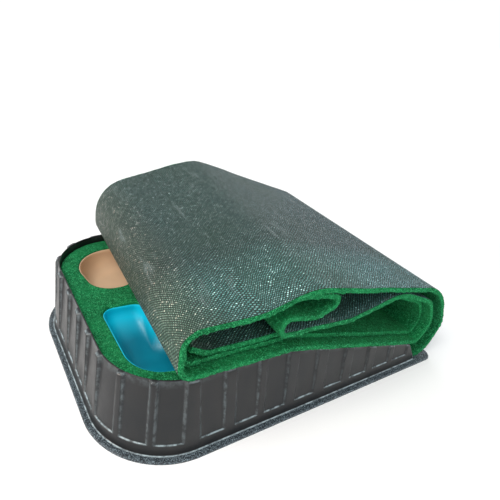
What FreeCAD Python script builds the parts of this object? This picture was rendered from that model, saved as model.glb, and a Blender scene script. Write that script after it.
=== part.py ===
"""Practice putting mat: a moulded tray with two traps and a cup, and its turf runner stored on top.

Millimetres. Origin: bottom centre of the whole object. +X runs from the tray's back wall to the foot
of its ramp, +Y from the near side wall to the far one, +Z up.
"""
import FreeCAD, Part
import math
import os

Vector = FreeCAD.Vector
FAR = 400.0

# ---- driving dimensions: the tray -------------------------------------------------------------
FLANGE_BACK = -252.0
FLANGE_FRONT = 240.5
FLANGE_HALF_WIDTH = 181.0
FLANGE_THICKNESS = 3.0
FLANGE_FRONT_RADIUS = 14.0
WALL_BACK = -237.8
WALL_HALF_WIDTH = 165.7
CORNER_RADIUS = 84.0
RIM_HEIGHT = 100.0
RIM_WIDTH = 6.0
WALL_DRAFT = 7.0
WALL_THICKNESS = 2.0
RAMP_START = -45.0
RAMP_SLOPE = 0.286
RAMP_END = 189.0
DECK_RAMP_START = -34.0
TRAY_FRONT = 206.0
DECK_RECESS = 15.5
DECK_THICKNESS = 2.5
FLUTE_DEPTH = 4.5
FLUTE_FOOT_DEPTH = 1.2
FLUTE_WIDTH = 29.0
FLUTE_FOOT = 17.5
FLUTE_REACH = 30.0
# Panels along each side wall, as x of their middles.
SIDE_FLUTES = [-138.0, -94.5, -54.5, -9.5, 38.0, 83.0, 127.0, 166.5]
# Panels round the back and its two corners, as distances along the rim from the back's middle.
BACK_FLUTES = [-183.0, -146.5, -109.0, -71.0, -32.0, 9.0, 51.0, 93.7, 136.3, 179.0]

# ---- driving dimensions: traps and cup ----------------------------------------------------------
LINER_WALL = 1.5
LIP_WIDTH = 5.0
LIP_THICKNESS = 1.2
LIP_PLAY = 0.5
TRAP_DEPTH = 28.0
TRAP_FLOOR_SCALE = 0.5
TRAP_LEVELS = 5
CUP_CENTRE_X = -92.0
CUP_RADIUS = 50.0
CUP_DEPTH = 60.0
WATER_TRAP = [(-209.0, -5.0, 16.0), (-209.0, -130.0, 44.0), (-44.0, -146.0, 22.0),
              (-44.0, -88.0, 20.0), (-154.0, -58.0, 34.0), (-156.0, -8.0, 16.0)]
WATER_CENTRE = (-172.0, -100.0)
SAND_TRAP = [(-201.0, 33.0, 30.0), (-165.0, 32.0, 22.0), (-44.0, 98.0, 20.0), (-44.0, 146.0, 22.0),
             (-214.0, 130.5, 50.0)]
SAND_CENTRE = (-165.0, 92.0)

# ---- driving dimensions: the turf runner --------------------------------------------------------
BACKING = 1.5
TURF = 6.5
RUNNER_HALF_WIDTH = 169.0
INNER_SHIFT = 12.0
TURF_PLAY = 0.5
LAYER_GAP = 1.6
RIM_SLACK = 0.5
RIM_LINE = RIM_HEIGHT + RIM_SLACK
RAMP_FOOT = (206.0, RIM_LINE - RAMP_SLOPE * (206.0 - RAMP_START), 16.0)
FOOT_START = 207.0
# Where along their runs the stretches meet: over and under the left fold, down the ramp, and before
# the S bend.
OVER_LEFT = 0.35
UNDER_LEFT = 0.35
DOWN_RAMP = 0.85
BEFORE_BEND = 0.7
RISING_BEND_X = 12.5
RISING_BEND_RADIUS = 7.0
UNDER_RUN_RADIUS = 40.0
TUCK_START_X = 3.5
TUCK_GAP = 1.2
HINGE_CLEARANCE = 5.0
FOOT_HINGE = (229.0, 10.45)
SHOULDER_HINGE = (234.1, 87.75)

# The backing's outer face as corners (x, z, radius), followed from the foot of the ramp onward with
# the pile on its left: up the riser, back over the top, round the left fold, out along the rims,
# round the right loop, back to the S bend and up under the top run.
RISER = [(FOOT_START, FLANGE_THICKNESS, 0.0), (234.0, FLANGE_THICKNESS, 28.0), (255.2, 54.8, 40.0)]
TOP_NEAR = [(218.7, 123.8, 80.0), (-30.0, 180.5, 110.0), (-95.0, 165.0, 60.0), (-183.0, 167.0, 22.0),
            (-186.5, RIM_LINE, 20.0)]
TOP_FAR = [(217.3, 126.45, 80.0), (-8.0, 206.8, 46.0), (-85.0, 191.0, 60.0), (-161.0, 175.5, 52.0),
           (-163.0, RIM_LINE, 20.0)]
RIM_REST = [(RAMP_START, RIM_LINE, 15.0), RAMP_FOOT]
LOOP = [(224.5, 61.0, 34.0), (205.0, 106.0, 40.0), (128.0, 138.0, 60.0), (40.0, 121.5, 60.0)]
S_BEND = [(-64.5, 131.0, 4.6), (-59.0, 145.0, 4.6), (-15.0, 135.0, 30.0), (13.0, 146.0, 11.0)]
RUN_OUT = (-60.0, 123.4, 30.0)
FREE_END_NEAR = [(-146.0, 123.4, 20.0), (-165.0, 136.0, 0.0)]
FREE_END_FAR = [(-122.0, 123.4, 20.0), (-141.0, 136.0, 0.0)]


# ---- filleted polylines ---------------------------------------------------------------------------
def minus(a, b):
    return (a[0] - b[0], a[1] - b[1])


def unit(a, b):
    """Unit direction from a to b."""
    d = minus(b, a)
    size = math.hypot(d[0], d[1])
    return (d[0] / size, d[1] / size)


def cross(a, b):
    return a[0] * b[1] - a[1] * b[0]


def shifted(corners, left, closed=False):
    """The same line moved to its left by a distance, arcs keeping their centres."""
    count = len(corners)
    moved = []
    for i, here in enumerate(corners):
        before = corners[(i - 1) % count] if closed or i > 0 else None
        after = corners[(i + 1) % count] if closed or i < count - 1 else None
        inward = unit(before, here) if before else unit(here, after)
        outward = unit(here, after) if after else inward
        turn = cross(inward, outward)
        bisect = (inward[0] + outward[0], inward[1] + outward[1])
        size = math.hypot(bisect[0], bisect[1])
        normal = (-bisect[1] / size, bisect[0] / size)
        reach = left / (size / 2.0)
        radius = here[2] - math.copysign(left, turn) if here[2] > 0.0 else 0.0
        moved.append((here[0] + normal[0] * reach, here[1] + normal[1] * reach, radius))
    return moved


def edges(corners, place, closed=False):
    """Lines and tangent arcs through the corners; place turns (u, v) into a point in space."""
    count = len(corners)
    pieces = []
    points = []
    for i, here in enumerate(corners):
        if here[2] <= 0.0:
            points.append((here[:2], None, here[:2]))
            continue
        inward = unit(corners[i - 1], here)
        outward = unit(here, corners[(i + 1) % count])
        half_turn = math.acos(max(-1.0, min(1.0, inward[0] * outward[0] + inward[1] * outward[1]))) / 2.0
        reach = here[2] * math.tan(half_turn)
        start = (here[0] - inward[0] * reach, here[1] - inward[1] * reach)
        end = (here[0] + outward[0] * reach, here[1] + outward[1] * reach)
        sag = here[2] * (1.0 / math.cos(half_turn) - 1.0)
        middle = ((start[0] + end[0]) / 2.0, (start[1] + end[1]) / 2.0)
        inside = unit(here, middle)
        points.append((start, (here[0] + inside[0] * sag, here[1] + inside[1] * sag), end))
    for i, (start, middle, end) in enumerate(points):
        if middle:
            pieces.append(Part.Arc(place(start), place(middle), place(end)).toShape())
        following = points[(i + 1) % count] if closed or i < count - 1 else None
        if following:
            pieces.append(Part.LineSegment(place(end), place(following[0])).toShape())
    return pieces


def level(z):
    """Places plan points at a height."""
    return lambda p: Vector(p[0], p[1], z)


def station(y):
    """Places side-view points at a distance along the fold lines."""
    return lambda p: Vector(p[0], y, p[1])


def outline(corners, z):
    return Part.Wire(edges(corners, level(z), closed=True))


def slab(corners, z_low, z_high):
    return Part.Face(outline(corners, z_low)).extrude(Vector(0, 0, z_high - z_low))


def side_prism(points, half_width=FAR):
    """Prism along Y from a side-view polygon."""
    corners = [(x, z, 0.0) for x, z in points]
    wire = Part.Wire(edges(corners, station(-half_width), closed=True))
    return Part.Face(wire).extrude(Vector(0, 2.0 * half_width, 0))


def ribbon_wire(corners, low, high, y):
    """Closed section of a band that lies between two distances left of the line."""
    place = station(y)
    first = shifted(corners, low)
    second = shifted(corners, high)
    lower = edges(first, place)
    upper = edges(second, place)
    start = Part.LineSegment(place(first[0]), place(second[0])).toShape()
    end = Part.LineSegment(place(first[-1]), place(second[-1])).toShape()
    return Part.Wire(lower + [end] + upper[::-1] + [start])


def ribbon(near, far, low, high, y_near, y_far):
    """Band of turf from its near section to its far one."""
    sections = [ribbon_wire(near, low, high, y_near), ribbon_wire(far, low, high, y_far)]
    if near == far:
        return Part.Face(sections[0]).extrude(Vector(0, y_far - y_near, 0))
    return Part.makeLoft(sections, True, True)


# ---- the tray -----------------------------------------------------------------------------------
def tray_outline(grow, front, back_radius, front_radius):
    """Round-cornered outline of the tray, grown outward from the rim's outer edge."""
    half = WALL_HALF_WIDTH + grow
    back = WALL_BACK - grow
    return [(back, half, back_radius + grow), (back, -half, back_radius + grow),
            (front, -half, front_radius), (front, half, front_radius)]


def flange_outline():
    back_radius = CORNER_RADIUS + WALL_BACK - FLANGE_BACK
    return [(FLANGE_BACK, FLANGE_HALF_WIDTH, back_radius), (FLANGE_BACK, -FLANGE_HALF_WIDTH, back_radius),
            (FLANGE_FRONT, -FLANGE_HALF_WIDTH, FLANGE_FRONT_RADIUS),
            (FLANGE_FRONT, FLANGE_HALF_WIDTH, FLANGE_FRONT_RADIUS)]


def drafted_block(foot_inset, head_inset):
    """Wall envelope from the flange's top to the rim, with its draft, pulled in by the insets."""
    foot = tray_outline(WALL_DRAFT - foot_inset, FAR, CORNER_RADIUS, 0.0)
    head = tray_outline(-head_inset, FAR, CORNER_RADIUS, 0.0)
    return Part.makeLoft([outline(foot, 0.0), outline(head, RIM_HEIGHT)], True, True)


def ramp_profile(top, start, front):
    """Side view under a surface that is level at the back and ramps down to the front."""
    foot = top - RAMP_SLOPE * (RAMP_END - RAMP_START)
    return [(-FAR, -FAR), (front, -FAR), (front, FLANGE_THICKNESS), (RAMP_END, foot), (start, top),
            (-FAR, top)]


def wall_point(s):
    """Place and outward direction on the rim, at a distance s along it from the back's middle."""
    straight = WALL_HALF_WIDTH - CORNER_RADIUS
    arc = CORNER_RADIUS * math.pi / 2.0
    side = math.copysign(1.0, s)
    s = abs(s)
    centre_x = WALL_BACK + CORNER_RADIUS
    if s <= straight:
        return (WALL_BACK, side * s), (-1.0, 0.0)
    if s <= straight + arc:
        angle = (s - straight) / CORNER_RADIUS
        facing = (-math.cos(angle), side * math.sin(angle))
        place = (centre_x + CORNER_RADIUS * facing[0], side * straight + CORNER_RADIUS * facing[1])
        return place, facing
    return (centre_x + s - straight - arc, side * WALL_HALF_WIDTH), (0.0, side)


def flute_stations():
    """Distances along the rim of every fluted panel's middle, both ways from the back's middle."""
    to_side = WALL_HALF_WIDTH - CORNER_RADIUS + CORNER_RADIUS * math.pi / 2.0
    side_start = WALL_BACK + CORNER_RADIUS
    side = [to_side + x - side_start for x in SIDE_FLUTES]
    return BACK_FLUTES + side + [-s for s in side]


def flutes():
    """The spaces of the recessed panels, from their foot ledges up through the rim."""
    outer = drafted_block(-FLUTE_REACH, -FLUTE_REACH)
    shell = outer.cut(drafted_block(FLUTE_FOOT_DEPTH, FLUTE_DEPTH))
    panels = []
    for s in flute_stations():
        place, facing = wall_point(s)
        corner = Vector(-FLUTE_REACH, -FLUTE_WIDTH / 2.0, FLUTE_FOOT)
        box = Part.makeBox(2.0 * FLUTE_REACH, FLUTE_WIDTH, RIM_HEIGHT, corner)
        box.rotate(Vector(0, 0, 0), Vector(0, 0, 1), math.degrees(math.atan2(facing[1], facing[0])))
        box.translate(Vector(place[0], place[1], 0.0))
        panels.append(shell.common(box))
    return Part.Compound(panels)


def base_shell():
    deck_top = RIM_HEIGHT - DECK_RECESS
    envelope = drafted_block(0.0, 0.0).common(side_prism(ramp_profile(RIM_HEIGHT, RAMP_START, TRAY_FRONT)))
    flange = slab(flange_outline(), 0.0, FLANGE_THICKNESS)
    inside = slab(tray_outline(-RIM_WIDTH, FAR, CORNER_RADIUS, 0.0), FLANGE_THICKNESS, 2.0 * RIM_HEIGHT)
    over_deck = inside.cut(side_prism(ramp_profile(deck_top, DECK_RAMP_START, TRAY_FRONT)))
    hollow = drafted_block(FLUTE_DEPTH + WALL_THICKNESS, FLUTE_DEPTH + WALL_THICKNESS)
    underside = ramp_profile(deck_top - DECK_THICKNESS, DECK_RAMP_START, TRAY_FRONT - 2.0 * DECK_THICKNESS)
    under = side_prism(underside)
    hollow = hollow.common(under)
    body = envelope.fuse(flange).cut(over_deck).cut(hollow).cut(flutes())
    openings = []
    for corners in (WATER_TRAP, SAND_TRAP):
        openings.append(slab(shifted(corners, -LIP_PLAY, True), 0.0, RIM_HEIGHT))
        rebate = shifted(corners, -LIP_WIDTH - LIP_PLAY, True)
        openings.append(slab(rebate, deck_top - LIP_THICKNESS, RIM_HEIGHT))
    cup_axis = Vector(CUP_CENTRE_X, 0, 0)
    openings.append(Part.makeCylinder(CUP_RADIUS + LIP_PLAY, RIM_HEIGHT, cup_axis))
    seat = Vector(CUP_CENTRE_X, 0, deck_top - LIP_THICKNESS)
    openings.append(Part.makeCylinder(CUP_RADIUS + LIP_WIDTH + LIP_PLAY, RIM_HEIGHT, seat))
    return body.cut(Part.Compound(openings)).removeSplitter()


# ---- traps and cup --------------------------------------------------------------------------------
def scaled(corners, centre, share):
    return [(centre[0] + (x - centre[0]) * share, centre[1] + (y - centre[1]) * share, r * share)
            for x, y, r in corners]


def bowl(corners, centre, z_top, depth):
    """Solid of a trap's round-bottomed hollow."""
    sections = []
    for k in range(TRAP_LEVELS + 1):
        angle = math.pi / 2.0 * k / TRAP_LEVELS
        share = 1.0 - (1.0 - TRAP_FLOOR_SCALE) * (1.0 - math.cos(angle))
        sections.append(outline(scaled(corners, centre, share), z_top - depth * math.sin(angle)))
    return Part.makeLoft(sections, True, True)


def trap_liner(corners, centre):
    """Thin moulded bowl with a lip that sits in the deck's rebate."""
    z_top = RIM_HEIGHT - DECK_RECESS
    outer = bowl(corners, centre, z_top, TRAP_DEPTH)
    lip = slab(shifted(corners, -LIP_WIDTH, True), z_top - LIP_THICKNESS, z_top)
    inner = bowl(shifted(corners, LINER_WALL, True), centre, z_top, TRAP_DEPTH - LINER_WALL)
    return outer.fuse(lip).cut(inner)


def hole_cup():
    z_top = RIM_HEIGHT - DECK_RECESS
    foot = Vector(CUP_CENTRE_X, 0, z_top - CUP_DEPTH)
    cup = Part.makeCylinder(CUP_RADIUS, CUP_DEPTH, foot)
    seat = Vector(CUP_CENTRE_X, 0, z_top - LIP_THICKNESS)
    lip = Part.makeCylinder(CUP_RADIUS + LIP_WIDTH, LIP_THICKNESS, seat)
    floor = foot + Vector(0, 0, LINER_WALL)
    return cup.fuse(lip).cut(Part.makeCylinder(CUP_RADIUS - LINER_WALL, CUP_DEPTH, floor))


# ---- the turf runner --------------------------------------------------------------------------------
def deck_turf(low, high):
    """Turf on the deck and ramp, between the side walls, with its cut-outs."""
    deck_top = RIM_HEIGHT - DECK_RECESS
    inner = WALL_HALF_WIDTH - RIM_WIDTH - TURF_PLAY
    lie = [(WALL_BACK, deck_top, 0.0), (DECK_RAMP_START, deck_top, 0.0),
           (RAMP_END, deck_top - RAMP_SLOPE * (RAMP_END - RAMP_START), 0.0),
           (TRAY_FRONT, FLANGE_THICKNESS, 0.0), (FOOT_START, FLANGE_THICKNESS, 0.0)]
    turf = ribbon(lie, lie, low, high, -inner, inner)
    plan = slab(tray_outline(-RIM_WIDTH - TURF_PLAY, FAR, CORNER_RADIUS, 0.0), 0.0, 2.0 * RIM_HEIGHT)
    cuts = [slab(corners, 0.0, 2.0 * RIM_HEIGHT) for corners in (WATER_TRAP, SAND_TRAP)]
    cuts.append(Part.makeCylinder(CUP_RADIUS, 2.0 * RIM_HEIGHT, Vector(CUP_CENTRE_X, 0, 0)))
    return turf.common(plan).cut(Part.Compound(cuts))


def between(corners, i, share=0.5):
    """Sharp point on the run after corner i."""
    a = corners[i]
    b = corners[i + 1]
    return (a[0] + (b[0] - a[0]) * share, a[1] + (b[1] - a[1]) * share, 0.0)


def at_x(a, b, x, radius):
    """Corner on the line from a to b at a given x."""
    share = (x - a[0]) / (b[0] - a[0])
    return (x, a[1] + (b[1] - a[1]) * share, radius)


def wound_stretches(top, free_end):
    """Corner lists of each stretch that is wound up, in order along the runner."""
    outer = RISER + top + RIM_REST + LOOP + S_BEND
    tuck = shifted(top + RIM_REST + LOOP, TURF + LAYER_GAP)
    bend_top = at_x(tuck[0], tuck[1], RISING_BEND_X, RISING_BEND_RADIUS)
    tuck_start = at_x(tuck[0], tuck[1], TUCK_START_X, 0.0)
    past_tuck = at_x(tuck[0], tuck[1], TUCK_START_X - TUCK_GAP, 0.0)
    under_run = (tuck[10][0], tuck[10][1], UNDER_RUN_RADIUS)
    run_out = [under_run, RUN_OUT] + free_end
    return {
        "riser_and_top": outer[0:6] + [between(outer, 5, OVER_LEFT)],
        "left_fold": [between(outer, 5, OVER_LEFT)] + outer[6:8] + [between(outer, 7, UNDER_LEFT)],
        "bottom_run": [between(outer, 7, UNDER_LEFT), outer[8], between(outer, 8, DOWN_RAMP)],
        "right_loop": [between(outer, 8, DOWN_RAMP)] + outer[9:12] + [between(outer, 11)],
        "second_run": [between(outer, 11)] + outer[12:14] + [between(outer, 13, BEFORE_BEND)],
        "s_bend": [between(outer, 13, BEFORE_BEND)] + outer[14:16] + [between(outer, 15)],
        "rising_bend": [between(outer, 15)] + outer[16:18] + [bend_top, tuck_start],
        "tucked_run": [past_tuck] + tuck[1:3] + [between(tuck, 2, OVER_LEFT)],
        "inner_left_fold": [between(tuck, 2, OVER_LEFT)] + tuck[3:5] + [between(tuck, 4, UNDER_LEFT)],
        "third_run": [between(tuck, 4, UNDER_LEFT), tuck[5], between(tuck, 5, DOWN_RAMP)],
        "inner_right_loop": [between(tuck, 5, DOWN_RAMP)] + tuck[6:9] + [between(tuck, 8)],
        "fourth_run": [between(tuck, 8), tuck[9]] + run_out[0:2] + [between(run_out, 1)],
        "free_end": [between(run_out, 1)] + free_end,
    }


def hinge_relief(hinge):
    """Round gap about a fold line, wide enough for the turf to fold back without touching."""
    reach = 2.0 * RUNNER_HALF_WIDTH
    start = Vector(hinge[0], -reach, hinge[1])
    return Part.makeCylinder(HINGE_CLEARANCE, 2.0 * reach, start, Vector(0, 1, 0))


def runner(low, high):
    """Every stretch of one layer of the runner, by name."""
    near_lines = wound_stretches(TOP_NEAR, FREE_END_NEAR)
    far_lines = wound_stretches(TOP_FAR, FREE_END_FAR)
    tucked = list(near_lines)[7:]
    stretches = {}
    for name, near in near_lines.items():
        shift = INNER_SHIFT if name in tucked else 0.0
        y_near = shift - RUNNER_HALF_WIDTH
        y_far = shift + RUNNER_HALF_WIDTH
        stretches[name] = ribbon(near, far_lines[name], low, high, y_near, y_far)
    whole = stretches.pop("riser_and_top")
    whole = whole.cut(hinge_relief(FOOT_HINGE)).cut(hinge_relief(SHOULDER_HINGE))
    foot, riser, top_run = sorted(whole.Solids, key=lambda piece: piece.BoundBox.ZMax)
    first = {"foot": foot, "riser": riser, "top_run": top_run}
    first.update(stretches)
    return first


def export(name, shape):
    state = "valid" if shape.isValid() else "NOT VALID"
    print(name, state, len(shape.Solids), "solid", round(shape.Volume / 1000.0, 2), "cm3")
    shape.exportStep("parts/" + name + ".step")


def build():
    os.makedirs("parts", exist_ok=True)
    export("base_shell", base_shell())
    export("water_trap_liner", trap_liner(WATER_TRAP, WATER_CENTRE))
    export("sand_trap_liner", trap_liner(SAND_TRAP, SAND_CENTRE))
    export("hole_cup", hole_cup())
    for layer, low, high in (("backing", 0.0, BACKING), ("pile", BACKING, TURF)):
        export("deck_" + layer, deck_turf(low, high))
        for name, shape in runner(low, high).items():
            export(name + "_" + layer, shape)


build()
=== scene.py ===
"""Practice putting mat: its looks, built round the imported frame.

The shapes are worked out in millimetres in the row frame and scaled to metres as they are built.
"""
import math

import bpy
import numpy as np
from mathutils import Matrix, Vector, noise
from mathutils.geometry import delaunay_2d_cdt


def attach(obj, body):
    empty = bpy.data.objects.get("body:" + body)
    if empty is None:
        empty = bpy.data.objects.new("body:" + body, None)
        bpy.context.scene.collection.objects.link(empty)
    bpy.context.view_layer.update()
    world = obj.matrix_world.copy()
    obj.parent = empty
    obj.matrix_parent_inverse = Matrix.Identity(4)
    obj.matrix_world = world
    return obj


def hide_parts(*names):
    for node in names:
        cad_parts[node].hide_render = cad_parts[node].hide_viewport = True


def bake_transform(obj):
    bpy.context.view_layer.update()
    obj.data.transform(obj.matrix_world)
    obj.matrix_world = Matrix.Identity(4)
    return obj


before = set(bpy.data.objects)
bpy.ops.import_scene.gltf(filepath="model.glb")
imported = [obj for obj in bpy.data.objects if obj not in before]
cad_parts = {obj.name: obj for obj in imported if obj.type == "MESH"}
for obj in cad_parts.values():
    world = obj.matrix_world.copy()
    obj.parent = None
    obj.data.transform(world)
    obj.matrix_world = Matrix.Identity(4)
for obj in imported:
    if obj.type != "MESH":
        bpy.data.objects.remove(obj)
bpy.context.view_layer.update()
MM = 0.001

# ---- the tray, as in the CAD -------------------------------------------------------------------
FLANGE_BACK = -252.0
FLANGE_FRONT = 240.5
FLANGE_HALF_WIDTH = 181.0
FLANGE_TOP = 3.0
FLANGE_FRONT_RADIUS = 14.0
WALL_BACK = -237.8
WALL_HALF_WIDTH = 165.7
CORNER_RADIUS = 84.0
RIM_HEIGHT = 100.0
RIM_WIDTH = 6.0
WALL_DRAFT = 7.0
SKIN = 2.0
RAMP_START = -45.0
RAMP_SLOPE = 0.286
RAMP_END = 189.0
DECK_RAMP_START = -34.0
DECK_TOP = 84.5
DECK_THICKNESS = 2.5
TRAY_FRONT = 206.0
WALL_END = 205.6
FLUTE_DEPTH = 4.5
FLUTE_FOOT_DEPTH = 1.2
FLUTE_HALF_WIDTH = 14.5
FLUTE_FOOT = 17.5
FLUTE_BLEND = 1.5
PANEL_LEAN = 2.5
LEAN_START = 190.0
SIDE_FLUTES = [-138.0, -94.5, -54.5, -9.5, 38.0, 83.0, 127.0, 166.5]
BACK_FLUTES = [-183.0, -146.5, -109.0, -71.0, -32.0, 9.0, 51.0, 93.7, 136.3, 179.0]

WATER_TRAP = [(-209.0, -5.0, 16.0), (-209.0, -130.0, 44.0), (-44.0, -146.0, 22.0),
              (-44.0, -88.0, 20.0), (-154.0, -58.0, 34.0), (-156.0, -8.0, 16.0)]
WATER_CENTRE = (-172.0, -100.0)
SAND_TRAP = [(-201.0, 33.0, 30.0), (-165.0, 32.0, 22.0), (-44.0, 98.0, 20.0), (-44.0, 146.0, 22.0),
             (-214.0, 130.5, 50.0)]
SAND_CENTRE = (-165.0, 92.0)
TRAP_DEPTH = 28.0
TRAP_FLOOR_SCALE = 0.5
LINER_WALL = 1.5
LIP_WIDTH = 5.0
LIP_THICKNESS = 1.2
COLLAR_PLAY = 0.3
COLLAR_HEIGHT = 4.0
CUP_CENTRE = (-92.0, 0.0)
CUP_RADIUS = 50.0
CUP_DEPTH = 60.0

# ---- the turf runner, as in the CAD ------------------------------------------------------------
BACKING = 1.5
TURF = 6.5
RUNNER_HALF_WIDTH = 169.0
INNER_SHIFT = 12.0
LAYER_GAP = 1.6
RIM_LINE = 100.5
RAMP_FOOT = (206.0, RIM_LINE - RAMP_SLOPE * (206.0 - RAMP_START), 16.0)
FOOT_START = 207.0
RISING_BEND = (12.5, 7.0)
UNDER_RUN_RADIUS = 40.0
RISER = [(FOOT_START, FLANGE_TOP, 0.0), (234.0, FLANGE_TOP, 28.0), (255.2, 54.8, 40.0)]
TOP_NEAR = [(218.7, 123.8, 80.0), (-30.0, 180.5, 110.0), (-95.0, 165.0, 60.0), (-183.0, 167.0, 22.0),
            (-186.5, RIM_LINE, 20.0)]
TOP_FAR = [(217.3, 126.45, 80.0), (-8.0, 206.8, 46.0), (-85.0, 191.0, 60.0), (-161.0, 175.5, 52.0),
           (-163.0, RIM_LINE, 20.0)]
RIM_REST = [(RAMP_START, RIM_LINE, 15.0), RAMP_FOOT]
LOOP = [(224.5, 61.0, 34.0), (205.0, 106.0, 40.0), (128.0, 138.0, 60.0), (40.0, 121.5, 60.0)]
S_BEND = [(-64.5, 131.0, 4.6), (-59.0, 145.0, 4.6), (-15.0, 135.0, 30.0), (13.0, 146.0, 11.0)]
RUN_OUT = (-60.0, 123.4, 30.0)
FREE_END_NEAR = [(-146.0, 123.4, 20.0), (-165.0, 136.0, 0.0)]
FREE_END_FAR = [(-122.0, 123.4, 20.0), (-141.0, 136.0, 0.0)]


# ---- plane geometry ----------------------------------------------------------------------------
def unit(a, b):
    d = np.subtract(b[:2], a[:2])
    return d / np.hypot(d[0], d[1])


def shifted(corners, left, closed=False):
    """The same line moved to its left by a distance, arcs keeping their centres."""
    count = len(corners)
    moved = []
    for i, here in enumerate(corners):
        before = corners[(i - 1) % count] if closed or i > 0 else None
        after = corners[(i + 1) % count] if closed or i < count - 1 else None
        inward = unit(before, here) if before else unit(here, after)
        outward = unit(here, after) if after else inward
        turn = inward[0] * outward[1] - inward[1] * outward[0]
        bisect = inward + outward
        size = np.hypot(bisect[0], bisect[1])
        reach = left / (size / 2.0)
        radius = here[2] - math.copysign(left, turn) if here[2] > 0.0 else 0.0
        moved.append((here[0] - bisect[1] / size * reach, here[1] + bisect[0] / size * reach, radius))
    return moved


def sampled(a, b, count):
    """Points from a up to, and without, b."""
    share = np.arange(count)[:, None] / count
    return np.asarray(a) * (1.0 - share) + np.asarray(b) * share


def rounded(corners, step, closed=False, counts=None):
    """Points along the lines and tangent arcs through the corners, and how many each stretch got."""
    number = len(corners)
    arcs = []
    for i, here in enumerate(corners):
        place = np.array(here[:2])
        if here[2] <= 0.0:
            arcs.append((place, None, place, 0.0))
            continue
        inward = unit(corners[i - 1], here)
        outward = unit(here, corners[(i + 1) % number])
        turn = math.atan2(inward[0] * outward[1] - inward[1] * outward[0], inward @ outward)
        reach = here[2] * math.tan(abs(turn) / 2.0)
        start = place - inward * reach
        centre = start + np.array([-inward[1], inward[0]]) * math.copysign(here[2], turn)
        arcs.append((start, centre, place + outward * reach, turn))
    points = []
    used = []
    wanted = iter(counts) if counts else None
    for i, (start, centre, end, turn) in enumerate(arcs):
        if centre is not None:
            length = np.linalg.norm(start - centre) * abs(turn)
            number_here = next(wanted) if wanted else max(4, math.ceil(length / step))
            used.append(number_here)
            angles = turn * np.arange(number_here) / number_here
            arm = start - centre
            turned = np.stack([arm[0] * np.cos(angles) - arm[1] * np.sin(angles),
                               arm[0] * np.sin(angles) + arm[1] * np.cos(angles)], axis=1)
            points.append(centre + turned)
        if closed or i < number - 1:
            following = arcs[(i + 1) % number][0]
            length = np.linalg.norm(following - end)
            number_here = next(wanted) if wanted else max(1, math.ceil(length / step))
            used.append(number_here)
            points.append(sampled(end, following, number_here))
    if not closed:
        points.append(arcs[-1][2][None, :])
    return np.concatenate(points), used


def lengths(line):
    return np.concatenate([[0.0], np.cumsum(np.linalg.norm(np.diff(line, axis=0), axis=1))])


def even(line, step, closed=False):
    """The line again with points an even step apart."""
    if closed:
        line = np.concatenate([line, line[:1]])
    along = lengths(line)
    count = max(3, round(along[-1] / step))
    at = np.linspace(0.0, along[-1], count + 1)
    points = np.stack([np.interp(at, along, line[:, k]) for k in range(line.shape[1])], axis=1)
    return points[:-1] if closed else points


def softened(line, sigma):
    """The line with its corners in curvature eased; sigma is in points and the ends stay."""
    reach = int(3 * sigma)
    kernel = np.exp(-0.5 * (np.arange(-reach, reach + 1) / sigma) ** 2)
    kernel /= kernel.sum()
    before = 2.0 * line[0] - line[1:reach + 1][::-1]
    after = 2.0 * line[-1] - line[-reach - 1:-1][::-1]
    padded_line = np.concatenate([before, line, after])
    return np.stack([np.convolve(padded_line[:, k], kernel, "valid") for k in range(line.shape[1])], axis=1)


def left_normals(line, closed=False):
    if closed:
        along = np.roll(line, -1, axis=0) - np.roll(line, 1, axis=0)
    else:
        along = np.gradient(line, axis=0)
    along /= np.linalg.norm(along, axis=1)[:, None]
    return np.stack([-along[:, 1], along[:, 0]], axis=1)


def smooth_step(x):
    x = np.clip(x, 0.0, 1.0)
    return x * x * (3.0 - 2.0 * x)


def area_of(line):
    x, y = line[:, 0], line[:, 1]
    return abs(np.dot(x, np.roll(y, -1)) - np.dot(y, np.roll(x, -1))) / 2.0


def rough(points, size, seed=0.0):
    """Smooth noise from about -1 to 1 at each point, with lumps of that size in millimetres."""
    offset = Vector((seed, seed * 1.7, -seed))
    return np.array([noise.noise(Vector(p) / size + offset) for p in points]) * 1.6


# ---- meshes ---------------------------------------------------------------------------------------
def add_piece(name, points, faces, uv=None, sharp_deg=35.0):
    """A smooth-shaded mesh from points in millimetres."""
    mesh = bpy.data.meshes.new(name)
    mesh.from_pydata((np.asarray(points) * MM).tolist(), [], faces)
    mesh.validate()
    mesh.update()
    if uv is not None:
        layer = mesh.uv_layers.new(name="cloth")
        index = np.zeros(len(mesh.loops), np.int32)
        mesh.loops.foreach_get("vertex_index", index)
        layer.data.foreach_set("uv", (np.asarray(uv) * MM)[index].astype(np.float32).ravel())
    piece = bpy.data.objects.new(name, mesh)
    bpy.context.scene.collection.objects.link(piece)
    mesh.shade_smooth()
    mesh.set_sharp_from_angle(angle=math.radians(sharp_deg))
    return piece


def loft_faces(stations, ring, closed_path=False, caps=True, first=0):
    """Faces of closed rings joined one to the next."""
    faces = []
    spans = stations if closed_path else stations - 1
    for i in range(spans):
        a = first + i * ring
        b = first + ((i + 1) % stations) * ring
        faces += [(a + j, a + (j + 1) % ring, b + (j + 1) % ring, b + j) for j in range(ring)]
    if caps and not closed_path:
        faces.append(tuple(first + j for j in range(ring))[::-1])
        faces.append(tuple(first + (stations - 1) * ring + j for j in range(ring)))
    return faces


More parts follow.
